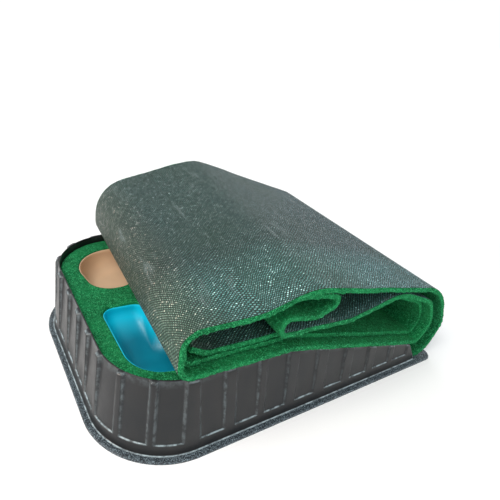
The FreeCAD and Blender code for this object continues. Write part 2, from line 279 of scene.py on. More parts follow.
class Build:
    """Gathers points and faces of several closed shells for one piece."""

    def __init__(self):
        self.points = []
        self.faces = []

    def loft(self, rings, closed_path=False):
        first = len(self.points)
        self.points += [p for ring in rings for p in ring]
        self.faces += loft_faces(len(rings), len(rings[0]), closed_path, first=first)

    def plate(self, borders, inner, low, high, edge=0.0):
        """Closed plate over a plan with holes; low and high give its faces' heights."""
        plan = [Vector(p) for line in borders for p in line] + [Vector(p) for p in inner]
        links = []
        start = 0
        for line in borders:
            count = len(line)
            links += [(start + i, start + (i + 1) % count) for i in range(count)]
            start += count
        flat, _, triangles, _, _, _ = delaunay_2d_cdt(plan, links, [], 0, 1e-6)
        flat = np.array([tuple(p) for p in flat])
        border = [np.asarray(line) for line in borders]
        kept = [t for t in triangles if inside(flat[list(t)].mean(axis=0), border)]
        used = sorted(set(i for t in kept for i in t))
        renamed = {old: new for new, old in enumerate(used)}
        flat = flat[used]
        kept = [tuple(renamed[i] for i in t) for t in kept]
        first = len(self.points)
        count = len(flat)
        self.points += [(x, y, z) for (x, y), z in zip(flat, high(flat))]
        self.points += [(x, y, z) for (x, y), z in zip(flat, low(flat))]
        self.faces += [tuple(first + i for i in t) for t in kept]
        self.faces += [tuple(first + count + i for i in t[::-1]) for t in kept]
        sides = {}
        for t in kept:
            for a, b in zip(t, t[1:] + t[:1]):
                sides[(a, b)] = True
        for a, b in sides:
            if (b, a) not in sides:
                self.faces.append((first + b, first + a, first + count + a, first + count + b))


def inside(point, borders):
    """True within an odd number of the closed lines."""
    odd = False
    for line in borders:
        a = line
        b = np.roll(line, -1, axis=0)
        crosses = (a[:, 1] > point[1]) != (b[:, 1] > point[1])
        safe = np.where(crosses, b[:, 1] - a[:, 1], 1.0)
        at = a[:, 0] + (point[1] - a[:, 1]) / safe * (b[:, 0] - a[:, 0])
        odd ^= bool((crosses & (at > point[0])).sum() % 2)
    return odd


# ---- materials --------------------------------------------------------------------------------------
class Paint:
    """Short names for building a node material round one Principled shader."""

    def __init__(self, name, **sockets):
        self.material = bpy.data.materials.new(name)
        self.material.use_nodes = True
        self.tree = self.material.node_tree
        self.tree.nodes.clear()
        self.shader = self.tree.nodes.new("ShaderNodeBsdfPrincipled")
        out = self.tree.nodes.new("ShaderNodeOutputMaterial")
        self.tree.links.new(self.shader.outputs[0], out.inputs[0])
        for socket, value in sockets.items():
            self.shader.inputs[socket.replace("_", " ")].default_value = value

    def add(self, kind, output=0, inputs=None, **props):
        node = self.tree.nodes.new("ShaderNode" + kind)
        for key, value in props.items():
            setattr(node, key, value)
        for key, value in (inputs or {}).items():
            if isinstance(value, bpy.types.NodeSocket):
                self.tree.links.new(value, node.inputs[key])
            else:
                node.inputs[key].default_value = value
        return node.outputs[output]

    def math(self, operation, a, b=0.0, c=0.0):
        return self.add("Math", inputs={0: a, 1: b, 2: c}, operation=operation)

    def place(self):
        return self.add("TexCoord", "Object")

    def noise(self, scale, detail=2.0, coordinates=None, roughness=0.5, stretch=None):
        where = coordinates or self.place()
        if stretch:
            where = self.add("Mapping", inputs={"Vector": where, "Scale": stretch})
        return self.add("TexNoise", "Fac", {"Vector": where, "Scale": scale, "Detail": detail,
                                            "Roughness": roughness})

    def ramp(self, value, stops):
        node = self.tree.nodes.new("ShaderNodeValToRGB")
        self.tree.links.new(value, node.inputs[0])
        elements = node.color_ramp.elements
        for i, (at, colour) in enumerate(stops):
            if i >= len(elements):
                elements.new(at)
            elements[i].position = at
            colour = colour if isinstance(colour, tuple) else (colour,) * 3
            elements[i].color = (*colour, 1.0)
        return node.outputs[0]

    def mix(self, share, a, b, blend="MIX"):
        node = self.tree.nodes.new("ShaderNodeMix")
        node.data_type = "RGBA"
        node.blend_type = blend
        for socket, value in ((node.inputs[0], share), (node.inputs[6], a), (node.inputs[7], b)):
            if isinstance(value, bpy.types.NodeSocket):
                self.tree.links.new(value, socket)
            elif isinstance(value, tuple):
                socket.default_value = (*value, 1.0)
            else:
                socket.default_value = value
        return node.outputs[2]

    def bump(self, height, distance, strength=1.0):
        return self.add("Bump", inputs={"Height": height, "Distance": distance, "Strength": strength})

    def parts(self, vector):
        """The X, Y and Z of a vector, as three outputs."""
        node = self.tree.nodes.new("ShaderNodeSeparateXYZ")
        self.tree.links.new(vector, node.inputs[0])
        return node.outputs

    def fade(self, value, start, end, low, high):
        """The value carried from the span start to end over to the span low to high, and held there."""
        return self.add("MapRange", inputs={"Value": value, 1: start, 2: end, 3: low, 4: high})

    def use(self, **sockets):
        for socket, value in sockets.items():
            self.tree.links.new(value, self.shader.inputs[socket.replace("_", " ")])
        return self.material


def pile_material():
    p = Paint("green_pile", Roughness=0.95, Specular_IOR_Level=0.04, Sheen_Weight=0.06,
              Sheen_Roughness=0.5, Sheen_Tint=(0.35, 0.9, 0.45, 1.0))
    blades = p.noise(780.0, 4.0, roughness=0.75)
    clumps = p.noise(260.0, 2.0)
    patches = p.noise(22.0, 2.0)
    colour = p.ramp(blades, [(0.36, (0.001, 0.030, 0.010)), (0.46, (0.006, 0.150, 0.046)),
                             (0.55, (0.028, 0.345, 0.125)), (0.66, (0.150, 0.80, 0.330))])
    colour = p.mix(p.ramp(clumps, [(0.40, 0.0), (0.62, 0.60)]), colour, (0.003, 0.078, 0.024))
    colour = p.mix(p.ramp(patches, [(0.42, 0.0), (0.62, 0.25)]), colour, (0.018, 0.36, 0.110))
    height = p.math("ADD", blades, p.math("MULTIPLY", clumps, 1.4))
    return p.use(Base_Color=colour, Normal=p.bump(height, 0.0016))


TAPE_ACROSS = 0.0020
TAPE_ALONG = 0.0019


def backing_material():
    """Flat-tape weave, near black with green, with painted light: browner at the left from a painted warm
    light, bluer at the right from a painted sky reflection, paler in front from painted light; the palest
    tapes are painted glints.
    """
    p = Paint("woven_backing", Specular_IOR_Level=0.28, Sheen_Weight=0.02, Sheen_Roughness=0.5)
    cloth = p.add("UVMap", uv_map="cloth")
    cells = p.add("Mapping", inputs={"Vector": cloth, "Scale": (1.0 / TAPE_ACROSS, 1.0 / TAPE_ALONG, 1.0)})
    wobble = p.noise(60.0, 2.0, coordinates=cloth)
    drift = p.add("VectorMath", inputs={0: cells, 1: p.add("CombineXYZ", inputs={
        "X": p.math("MULTIPLY", wobble, 2.4), "Y": p.math("MULTIPLY", wobble, 2.0)})}, operation="ADD")
    across, along, _ = p.parts(drift)
    checker = p.add("TexChecker", "Fac", {"Vector": drift, "Scale": 1.0})
    crown_a = p.math("ABSOLUTE", p.math("SINE", p.math("MULTIPLY", across, math.pi)))
    crown_b = p.math("ABSOLUTE", p.math("SINE", p.math("MULTIPLY", along, math.pi)))
    over = p.math("POWER", crown_b, 0.8)
    under = p.math("POWER", crown_a, 0.8)
    length_a = p.math("MULTIPLY", over, p.math("ADD", p.math("MULTIPLY", crown_a, 0.75), 0.25))
    length_b = p.math("MULTIPLY", under, p.math("ADD", p.math("MULTIPLY", crown_b, 0.75), 0.25))
    weave = p.add("Mix", inputs={0: checker, 2: length_a, 3: length_b}, data_type="FLOAT")
    whole = p.add("VectorMath", inputs={0: drift}, operation="FLOOR")
    tone_and_glint = p.add("TexWhiteNoise", inputs={"Vector": whole}, noise_dimensions="2D")
    grain = p.noise(900.0, 2.0, coordinates=cloth)
    # Random tone per cell; the palest cells at the ramp's top are a painted glint of the glossy tapes.
    tape = p.ramp(tone_and_glint, [(0.0, (0.058, 0.150, 0.135)), (0.55, (0.104, 0.246, 0.228)),
                          (0.94, (0.190, 0.350, 0.335)), (1.0, (0.62, 0.88, 0.86))])
    tape = p.mix(p.math("MULTIPLY", checker, 0.90), tape, (0.003, 0.009, 0.007))
    x, y, _ = p.parts(p.place())
    # Painted light by place: a painted warm light browns the left, a painted sky reflection blues the right,
    # painted light pales the front.
    painted_warm_light_left = p.fade(x, -0.125, -0.17, 0.0, 0.75)
    painted_sky_reflection_right = p.fade(x, 0.0, 0.15, 0.0, 0.6)
    tape = p.mix(painted_warm_light_left, tape, (1.75, 0.95, 0.75), "MULTIPLY")
    tape = p.mix(painted_sky_reflection_right, tape, (0.85, 1.0, 1.25), "MULTIPLY")
    painted_light_front = p.fade(y, -0.06, -0.12, 0.0, 1.0)
    tape = p.mix(painted_light_front, tape, (2.0, 2.3, 2.25), "MULTIPLY")
    colour = p.mix(p.ramp(weave, [(0.30, 0.0), (0.62, 1.0)]), (0.001, 0.004, 0.003), tape)
    colour = p.mix(p.ramp(grain, [(0.35, 0.0), (0.7, 0.4)]), colour, (0.006, 0.014, 0.011), "MIX")
    shade = p.noise(9.0, 3.0)
    colour = p.mix(p.ramp(shade, [(0.4, 0.0), (0.66, 0.45)]), colour, (0.016, 0.046, 0.030), "MIX")
    scuff = p.noise(26.0, 4.0, coordinates=cloth, stretch=(2.2, 0.5, 1.0), roughness=0.62)
    chalk = p.math("MULTIPLY", p.ramp(scuff, [(0.60, 0.0), (0.70, 0.6)]), weave)
    colour = p.mix(chalk, colour, (0.26, 0.33, 0.33))
    rough_by = p.ramp(tone_and_glint, [(0.0, 0.66), (0.7, 0.5), (1.0, 0.24)])
    normal = p.bump(p.math("ADD", weave, p.math("MULTIPLY", grain, 0.3)), 0.0008)
    return p.use(Base_Color=colour, Roughness=rough_by, Normal=normal)


def tray_material():
    p = Paint("tray_plastic", Specular_IOR_Level=0.32, Coat_Weight=0.06, Coat_Roughness=0.2)
    grain = p.noise(900.0, 3.0, roughness=0.75)
    cloud = p.noise(14.0, 3.0)
    runs = p.noise(70.0, 2.0, stretch=(1.0, 1.0, 0.12))
    _, _, height = p.parts(p.place())
    flange = p.ramp(p.math("MULTIPLY", height, 100.0), [(0.33, 1.0), (0.42, 0.0)])
    colour = p.ramp(cloud, [(0.3, (0.006, 0.008, 0.010)), (0.7, (0.013, 0.014, 0.015))])
    colour = p.mix(p.ramp(runs, [(0.4, 0.0), (0.7, 0.25)]), colour, (0.026, 0.022, 0.020))
    speck = p.ramp(grain, [(0.40, (0.008, 0.012, 0.016)), (0.52, (0.028, 0.038, 0.048)),
                           (0.62, (0.26, 0.34, 0.38))])
    colour = p.mix(flange, colour, speck)
    # Painted highlight: a pale line along the ledges, rib edges, rim and wall foot, standing in for light
    # caught on those edges; roughness is lowered there too.
    highlight_paint = p.add("Attribute", "Fac", attribute_name="edge_highlight_paint")
    patchy = p.ramp(p.noise(110.0, 3.0, roughness=0.7), [(0.40, 0.12), (0.6, 1.0)])
    highlight_paint = p.math("MULTIPLY", highlight_paint, patchy)
    colour = p.mix(highlight_paint, colour, (0.36, 0.45, 0.48))
    roughness = p.ramp(p.noise(40.0, 3.0), [(0.3, 0.30), (0.7, 0.42)])
    roughness = p.mix(flange, roughness, (0.42, 0.42, 0.42))
    roughness = p.mix(highlight_paint, roughness, (0.2, 0.2, 0.2))
    lumps = p.math("MULTIPLY", grain, p.fade(flange, 0.0, 1.0, 0.10, 1.0))
    return p.use(Base_Color=colour, Roughness=roughness, Normal=p.bump(lumps, 0.0006, 0.8))


def moulded_material(name, light, dark, roughness, depth=None):
    """Glossy moulding; with a pair of heights, the darker colour is painted low in the bowl between them as
    painted shade.
    """
    p = Paint(name, Specular_IOR_Level=0.5, Coat_Weight=0.12, Coat_Roughness=0.22)
    cloud = p.noise(16.0, 2.0)
    grain = p.noise(1500.0, 2.0)
    share = p.ramp(cloud, [(0.3, 0.0), (0.7, 1.0 if depth is None else 0.3)])
    # Painted shade: the colour darkens low in the bowl, where the carpet above shades the valley.
    if depth:
        _, _, height = p.parts(p.place())
        share = p.math("ADD", share, p.fade(height, depth[1], depth[0], 0.0, 0.85))
    colour = p.mix(share, light, dark)
    rough_by = p.ramp(p.noise(60.0, 3.0), [(0.3, roughness), (0.7, roughness + 0.08)])
    return p.use(Base_Color=colour, Roughness=rough_by, Normal=p.bump(grain, 0.00012, 0.4))


PILE = pile_material()
WOVEN = backing_material()
TRAY = tray_material()
# The last pair of heights paints shade low in the water bowl.
BLUE = moulded_material("blue_plastic", (0.001, 0.74, 0.99), (0.001, 0.20, 0.29), 0.34, (0.058, 0.074))
SAND = moulded_material("sand_plastic", (0.92, 0.63, 0.40), (0.72, 0.50, 0.32), 0.40)
WHITE = moulded_material("cup_plastic", (0.72, 0.72, 0.70), (0.64, 0.64, 0.62), 0.35)


def finish_piece(piece, material, body, nodes):
    """Material, slot, replaced nodes and, when one is given, the body it rides on."""
    piece.data.materials.append(material)
    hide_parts(*nodes)
    if body:
        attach(piece, body)
    return piece


# ---- the tray ---------------------------------------------------------------------------------------
def rim_top(x):
    foot = RIM_HEIGHT - RAMP_SLOPE * (RAMP_END - RAMP_START)
    return np.interp(x, [RAMP_START, RAMP_END, TRAY_FRONT], [RIM_HEIGHT, foot, FLANGE_TOP])


DECK_LIE = [(WALL_BACK, DECK_TOP, 0.0), (DECK_RAMP_START, DECK_TOP, 0.0),
            (RAMP_END, DECK_TOP - RAMP_SLOPE * (RAMP_END - DECK_RAMP_START), 0.0),
            (TRAY_FRONT, FLANGE_TOP, 0.0), (FOOT_START, FLANGE_TOP, 0.0)]


def deck_height(x, above=0.0):
    line = shifted(DECK_LIE, above)
    return np.interp(x, [p[0] for p in line], [p[1] for p in line])


def wall_stations(step):
    """Rim places, outward directions and distances along the rim, from one front end to the other."""
    straight = WALL_HALF_WIDTH - CORNER_RADIUS
    arc = CORNER_RADIUS * math.pi / 2.0
    centre_x = WALL_BACK + CORNER_RADIUS
    end = straight + arc + WALL_END - centre_x
    s = np.linspace(-end, end, 2 * math.ceil(end / step) + 1)
    side = np.sign(s)
    way = np.abs(s)
    angle = np.clip((way - straight) / CORNER_RADIUS, 0.0, math.pi / 2.0)
    facing = np.stack([-np.cos(angle), side * np.sin(angle)], axis=1)
    x = centre_x + CORNER_RADIUS * facing[:, 0] + np.maximum(way - straight - arc, 0.0)
    y = np.where(way <= straight, s, side * straight + CORNER_RADIUS * facing[:, 1])
    return np.stack([x, y], axis=1), facing, s


def flute_stations():
    to_side = WALL_HALF_WIDTH - CORNER_RADIUS + CORNER_RADIUS * math.pi / 2.0
    side = [to_side + x - (WALL_BACK + CORNER_RADIUS) for x in SIDE_FLUTES]
    return np.array(BACK_FLUTES + side + [-s for s in side])


def flute_lean(s):
    """How far forward of its station a near-side panel sits at the foot, and at the rim."""
    lean = PANEL_LEAN * smooth_step((-s - LEAN_START) / 25.0)
    return lean, -lean


def panel_share(s, stations, foot, head, z):
    """1 in a recessed panel, 0 on a rib, at a distance along the rim and a height."""
    centres = stations - (foot + (head - foot) * np.clip(z / RIM_HEIGHT, 0.0, 1.0))
    nearest = np.abs(s - centres).min()
    return 1.0 - float(smooth_step((nearest - FLUTE_HALF_WIDTH + FLUTE_BLEND) / (2.0 * FLUTE_BLEND)))


# The flange's edge as (inset, height), the wall's foot as (outward, rise above the flange), and the
# further rises at which the skin is cut, close together at the panels' ledges.
FLANGE_EDGE = [(0.0, 0.0), (0.0, 1.7), (0.4, 2.5), (1.1, FLANGE_TOP - 0.08), (2.2, FLANGE_TOP)]
FOOT_FILLET = [(8.6, 0.01), (7.9, 0.12), (7.3, 0.5), (7.0, 1.2)]
SKIN_RISES = [2.6, 8.0, 12.8, 13.6, 14.0, 14.3, 14.7, 15.1, 15.9, 18.0]
RIM_PANEL_ROUND = 1.2
RIM_RIB_ROUND = 4.4
FULL_HEIGHT_RISE = 30.0


def wall_section(x, width, panel_at):
    """Closed section of the wall as (outward, height): flange, skin, rim, and the hollow behind it."""
    top = float(rim_top(x))
    deck = float(min(deck_height(x), top - 0.1))
    squeeze = min(1.0, (top - FLANGE_TOP) / FULL_HEIGHT_RISE)
    round_by = (RIM_RIB_ROUND - (RIM_RIB_ROUND - RIM_PANEL_ROUND) * panel_at(top)) * squeeze + 0.05
    rows = [(width - inset, z) for inset, z in FLANGE_EDGE]
    foot = FOOT_FILLET + [(None, rise) for rise in SKIN_RISES]

    def face(z, inset=0.0):
        ledge = smooth_step((z - FLUTE_FOOT + 0.9) / 1.5) if squeeze >= 1.0 else smooth_step(
            (z - FLANGE_TOP) / max(0.4, top - FLANGE_TOP) * 2.0)
        depth = FLUTE_FOOT_DEPTH + (FLUTE_DEPTH - FLUTE_FOOT_DEPTH) * z / RIM_HEIGHT
        return WALL_DRAFT * (1.0 - z / RIM_HEIGHT) - depth * panel_at(z) * float(ledge) - inset

    for outward, rise in foot:
        z = FLANGE_TOP + rise * squeeze
        rows.append((face(z) if outward is None else outward, z))
    low = rows[-1][1]
    high = top - round_by
    for share in np.linspace(0.0, 1.0, 9)[1:]:
        z = low + (high - low) * share
        rows.append((face(z), z))
    for angle in (20.0, 40.0, 60.0, 78.0, 90.0):
        a = math.radians(angle)
        z = high + round_by * math.sin(a)
        rows.append((face(z, round_by * (1.0 - math.cos(a))), z))
    bead = min(0.9, (top - deck) / 3.0)
    rows += [(-RIM_WIDTH + bead, top), (-RIM_WIDTH + 0.3 * bead, top - 0.3 * bead),
             (-RIM_WIDTH, top - bead), (-RIM_WIDTH, (top + deck) / 2.0 - 0.3 * bead),
             (-RIM_WIDTH, deck - 0.4 * bead)]
    under = max(0.4, deck - DECK_THICKNESS)
    rows.append((-RIM_WIDTH, under))

    def behind(z):
        return WALL_DRAFT * (1.0 - z / RIM_HEIGHT) - FLUTE_DEPTH - SKIN

    rows += [(behind(under) + 0.05, under), (behind(under / 2.0), under / 2.0), (behind(0.0), 0.0)]
    return rows


def edge_highlight_paint(out, z, panel, x):
    """How strongly a painted highlight lines the moulding, from 0 to 1: its ledges, rib edges, rim and foot.
    """
    top = float(rim_top(x))
    on_skin = FLUTE_FOOT < z < top and out > -RIM_WIDTH
    ledge = panel * max(0.0, 1.0 - abs(z - FLUTE_FOOT + 0.2) / 0.75) * (1.0 if top > 34.0 else 0.0)
    foot = 1.6 * max(0.0, 1.0 - abs(z - FLANGE_TOP - 0.3) / 0.9) * (1.0 if 6.0 < out < 8.2 else 0.0)
    # More painted highlight on the ribs toward the left, where the light comes from.
    rib_highlight_paint = float(np.interp(x, [-120.0, 0.0], [0.28, 0.12]))
    rib = rib_highlight_paint * (4.0 * panel * (1.0 - panel)) * (1.0 if on_skin else 0.0)
    at_rim = max(0.0, 1.0 - abs(z - top + 1.4) / 1.3)
    rim = (0.15 + 0.5 * (1.0 - panel)) * at_rim * (1.0 if out > -4.5 else 0.2)
    return min(1.0, max(ledge, foot, rib, rim))


TONGUE_BORDER = 30.0


def tongue_line(inset, counts=None):
    """Outline of the flange in front of the ramp, drawn in by an inset."""
    radius = max(0.5, FLANGE_FRONT_RADIUS - inset)
    reach = FLANGE_FRONT - inset
    half = FLANGE_HALF_WIDTH - inset
    corners = [(WALL_END, -half, 0.0), (reach, -half, radius), (reach, half, radius), (WALL_END, half, 0.0)]
    return rounded(corners, 9.0, counts=counts)


def tray_shell():
    """Flange, fluted wall and rim all the way round, the tongue in front, and the deck with its holes."""
    build = Build()
    places, facings, along = wall_stations(1.45)
    stations = flute_stations()
    foot, head = flute_lean(stations)
    back_width = WALL_BACK - FLANGE_BACK
    side_width = FLANGE_HALF_WIDTH - WALL_HALF_WIDTH
    rings = []
    highlight_paint = []
    for place, facing, s in zip(places, facings, along):
        width = back_width + (side_width - back_width) * abs(facing[1])

        def panel_at(z):
            return panel_share(s, stations, foot, head, z)

        section = wall_section(place[0], width, panel_at)
        rings.append([(*(place + facing * out), z) for out, z in section])
        highlight_paint += [edge_highlight_paint(out, z, panel_at(z), place[0]) for out, z in section]
    build.loft(rings)
    counts = tongue_line(0.0)[1]
    tongue = []
    for inset, z in FLANGE_EDGE + [(TONGUE_BORDER, FLANGE_TOP), (TONGUE_BORDER, 0.0)]:
        line, _ = tongue_line(inset, counts)
        tongue.append([(x, y, z) for x, y in line])
    build.loft([[ring[i] for ring in tongue] for i in range(len(tongue[0]))])
    pad_reach = FLANGE_FRONT - TONGUE_BORDER + 0.1
    pad_half = FLANGE_HALF_WIDTH - TONGUE_BORDER + 0.1
    pad = [(WALL_END, -pad_half), (pad_reach, -pad_half), (pad_reach, pad_half), (WALL_END, pad_half)]
    build.plate([pad], [], lambda p: np.zeros(len(p)) + 0.4, lambda p: np.zeros(len(p)) + FLANGE_TOP - 0.01)
    inner = -RIM_WIDTH + 1.2
    border, _ = rounded([(WALL_BACK - inner, WALL_HALF_WIDTH + inner, CORNER_RADIUS + inner),
                         (WALL_BACK - inner, -WALL_HALF_WIDTH - inner, CORNER_RADIUS + inner),
                         (WALL_END, -WALL_HALF_WIDTH - inner, 0.0), (WALL_END, WALL_HALF_WIDTH + inner, 0.0)],
                        6.0, closed=True)
    holes = [rounded(shifted(c, -0.4, True), 4.0, closed=True)[0] for c in (WATER_TRAP, SAND_TRAP)]
    holes.append(circle(CUP_CENTRE, CUP_RADIUS + 0.4, 72))
    grid = [(x, y) for x in np.arange(-220.0, 200.0, 17.0) for y in np.arange(-150.0, 151.0, 17.0)]
    grid += [(x, y) for x in (DECK_RAMP_START, RAMP_END) for y in np.arange(-155.0, 156.0, 10.0)]
    lines = [border] + holes
    grid = [p for p in grid if inside(p, lines) and clear_of(p, lines, 4.0)]
    build.plate(lines, grid, lambda p: np.maximum(deck_height(p[:, 0]) - DECK_THICKNESS, 0.4),
                lambda p: deck_height(p[:, 0]) - 0.02)
    piece = add_piece("tray_shell", build.points, build.faces)
    highlight_layer = piece.data.attributes.new("edge_highlight_paint", "FLOAT", "POINT")
    highlight_paint += [0.0] * (len(build.points) - len(highlight_paint))
    highlight_layer.data.foreach_set("value", np.array(highlight_paint, np.float32))
    return finish_piece(piece, TRAY, "tray", ["base_shell"])


def circle(centre, radius, count):
    angles = np.linspace(0.0, 2.0 * math.pi, count, endpoint=False)
    return np.stack([centre[0] + radius * np.cos(angles), centre[1] + radius * np.sin(angles)], axis=1)


def clear_of(point, lines, distance):
    return all(np.hypot(line[:, 0] - point[0], line[:, 1] - point[1]).min() > distance for line in lines)


def vessel(name, outline_of, profile, floor_centre):
    """A thin bowl: profile lists (outline argument, share, height) round its closed section."""
    rings = []
    for argument, share, z in profile:
        line = outline_of(argument)
        line = floor_centre + (line - floor_centre) * share
        rings.append([(x, y, z) for x, y in line])
    points = [p for ring in rings for p in ring]
    count = len(rings[0])
    faces = loft_faces(len(rings), count, closed_path=True)
    return add_piece(name, points, faces, sharp_deg=50.0)


def trap_bowl(name, corners, centre, material, node):
    """Moulded bowl with a rounded floor, a lip under the turf and a collar up through it."""
    centre = np.array(centre)
    counts = rounded(corners, 3.0, closed=True)[1]

    def outline_of(left):
        return rounded(shifted(corners, left, True), 3.0, closed=True, counts=counts)[0]

    levels = 26
    inner = []
    for k in range(levels + 1):
        angle = math.pi / 2.0 * k / levels
        share = 1.0 - (1.0 - TRAP_FLOOR_SCALE) * (1.0 - math.cos(angle))
        inner.append((share, math.sin(angle)))
    inner += [(TRAP_FLOOR_SCALE * s, 1.0 + 0.015 * (1.0 - s)) for s in (0.85, 0.65, 0.45, 0.25, 0.08, 0.01)]
    head = DECK_TOP + COLLAR_HEIGHT
    collar = [(-LIP_WIDTH, DECK_TOP - LIP_THICKNESS), (-LIP_WIDTH, DECK_TOP - 0.1),
              (COLLAR_PLAY, DECK_TOP - 0.1), (COLLAR_PLAY, head - 0.15), (COLLAR_PLAY + 0.15, head),
              (LINER_WALL - 0.15, head), (LINER_WALL, head - 0.15)]
    profile = [(inset, 1.0, z) for inset, z in collar]
    profile += [(LINER_WALL, share, DECK_TOP - (TRAP_DEPTH - LINER_WALL) * drop) for share, drop in inner]
    profile += [(0.0, share, DECK_TOP - LIP_THICKNESS - (TRAP_DEPTH - LIP_THICKNESS) * drop)
                for share, drop in inner[::-1]]
    piece = vessel(name, outline_of, profile, centre)
    return finish_piece(piece, material, "tray", [node])


def hole_cup():
    centre = np.array(CUP_CENTRE)

    def outline_of(radius):
        return circle(centre, radius, 96)

    floor = DECK_TOP - CUP_DEPTH
    inner = CUP_RADIUS - LINER_WALL
    inside_line = [(inner + 1.0, DECK_TOP - 0.1), (inner + 0.3, DECK_TOP - 0.3), (inner, DECK_TOP - 1.0),
                   (inner, DECK_TOP - 20.0), (inner - 0.6, floor + 10.0), (inner - 1.0, floor + 4.5),
                   (inner - 2.2, floor + 2.3), (inner - 4.5, floor + LINER_WALL), (30.0, floor + 1.3),
                   (9.0, floor + 1.2), (6.0, floor + 0.9), (0.5, floor + 0.9)]
    outside_line = [(0.5, floor), (inner - 4.0, floor), (CUP_RADIUS - 1.2, floor + 1.5),
                    (CUP_RADIUS - 0.3, floor + 5.0), (CUP_RADIUS, DECK_TOP - LIP_THICKNESS)]
    lip_reach = CUP_RADIUS + LIP_WIDTH
    lip = [(lip_reach, DECK_TOP - LIP_THICKNESS), (lip_reach, DECK_TOP - 0.1)]
    profile = [(radius, 1.0, z) for radius, z in lip + inside_line + outside_line]
    piece = vessel("hole_cup_moulding", outline_of, profile, centre)
    return finish_piece(piece, WHITE, "tray", ["hole_cup"])


# ---- the turf -----------------------------------------------------------------------------------------
COVERED_FROM = -88.0


def deck_turf():
    """Turf on the deck and ramp: a fuzzy pile and its thin backing, with cut-outs for the traps."""
    inner = -RIM_WIDTH - 0.5
    wide = WALL_HALF_WIDTH + inner
    corner = CORNER_RADIUS + inner
    shape = [(WALL_BACK - inner, wide, corner), (WALL_BACK - inner, -wide, corner),
             (FOOT_START, -wide, 0.0), (FOOT_START, wide, 0.0)]
    border = even(rounded(shape, 2.0, closed=True)[0], 2.2, closed=True)
    holes = [even(rounded(c, 2.0, closed=True)[0], 2.0, closed=True) for c in (WATER_TRAP, SAND_TRAP)]
    holes.append(circle(CUP_CENTRE, CUP_RADIUS, 150))
    lines = [border] + holes
    flat_area = (area_of(border) - sum(area_of(h) for h in holes)) * MM * MM
    insets = []
    for line in lines:
        normal = left_normals(line, closed=True)
        turn = 1.0 if inside((line + normal)[0], lines) else -1.0
        for depth in (0.7, 1.8, 3.2):
            insets += [tuple(p) for p in line + normal * turn * depth]
    seen = np.arange(WALL_BACK + 8.0, COVERED_FROM, 2.3)
    hidden = np.arange(COVERED_FROM, 205.0, 7.0)
    grid = [(x, y) for x in seen for y in np.arange(-wide + 2.0, wide, 2.3)]
    grid += [(x, y) for x in hidden for y in np.arange(-wide + 4.0, wide, 7.0)]
    grid += [(x, y) for x in (DECK_RAMP_START, RAMP_END) for y in np.arange(-wide + 4.0, wide, 5.0)]
    every = np.concatenate(lines)
    grid = np.array(grid)
    gap = distance_to(grid, every)
    grid = [tuple(p) for p, g in zip(grid, gap) if g > 4.2 and inside(p, lines)]

    def pile_top(p):
        gap_here = distance_to(p, every)
        solid = np.column_stack([p, np.zeros(len(p))])
        lump = 0.42 * rough(solid, 4.2, 3.0) + 0.30 * rough(solid, 2.0, 8.0)
        droop = 1.3 * (1.0 - np.clip(gap_here / 2.6, 0.0, 1.0)) ** 2
        return deck_height(p[:, 0], TURF) - droop + lump * np.clip(gap_here / 2.0, 0.35, 1.0) - 0.1

    pile = Build()
    pile.plate(lines, insets + grid, lambda p: deck_height(p[:, 0], BACKING), pile_top)
    pile = add_piece("deck_turf_pile", pile.points, pile.faces, sharp_deg=60.0)
    finish_piece(pile, PILE, "tray", ["deck_pile"])
    backing = Build()
    at_creases = [(x, y) for x in (DECK_RAMP_START, RAMP_END) for y in np.arange(-150, 151, 9.0)]
    backing.plate(lines, grid[::7] + at_creases, lambda p: deck_height(p[:, 0], 0.02),
                  lambda p: deck_height(p[:, 0], BACKING) - 0.01)
    uv = [(x, y) for x, y, _ in backing.points]
    backing = add_piece("deck_turf_backing", backing.points, backing.faces, uv)
    finish_piece(backing, WOVEN, "tray", ["deck_backing"])
    return backing, pile, 2.0 * wide * MM, (FOOT_START - WALL_BACK + inner) * MM, flat_area


def distance_to(points, others):
    """Each point's distance to the nearest of the others, in plan."""
    points = np.asarray(points)
    best = np.full(len(points), 1e9)
    for start in range(0, len(others), 200):
        apart = points[:, None, :2] - others[None, start:start + 200, :]
        best = np.minimum(best, np.sqrt((apart ** 2).sum(axis=2)).min(axis=1))
    return best


def on_line(a, b, x, radius):
    """A corner of that radius on the line from a to b, at x."""
    share = (x - a[0]) / (b[0] - a[0])
    return (x, a[1] + (b[1] - a[1]) * share, radius)


def route(top, free_end):
    """The whole runner's backing line, from the foot of the ramp to its free end."""
    tuck = shifted(top + RIM_REST + LOOP, TURF + LAYER_GAP)
    bend = on_line(tuck[0], tuck[1], *RISING_BEND)
    under_run = (*tuck[10][:2], UNDER_RUN_RADIUS)
    return RISER + top + RIM_REST + LOOP + S_BEND + [bend] + tuck[1:10] + [under_run, RUN_OUT] + free_end


CORNER_DRAW = 1.6
CORNER_LIFT = 4.2
CROWN_LIFT = 1.1


def near_corner_ease(line):
    """How far the layers at the near left corner ride up on the rim and draw in."""
    left = smooth_step((-line[:, 0] - 60.0) / 90.0)
    low = 1.0 - smooth_step((line[:, 1] - 100.0) / 60.0)
    return np.stack([CORNER_DRAW * left * low, CORNER_LIFT * left * low], axis=1)


def crown_ease(line):
    """The far line with its crown drawn into a rounder curve."""
    round_line = softened(line, 13.0)
    along = 1.0 - smooth_step((np.abs(line[:, 0] + 4.0) - 45.0) / 35.0)
    share = along * smooth_step((line[:, 1] - 150.0) / 15.0)
    lift = np.array([0.0, CROWN_LIFT])
    return line + (round_line + lift - line) * share[:, None]


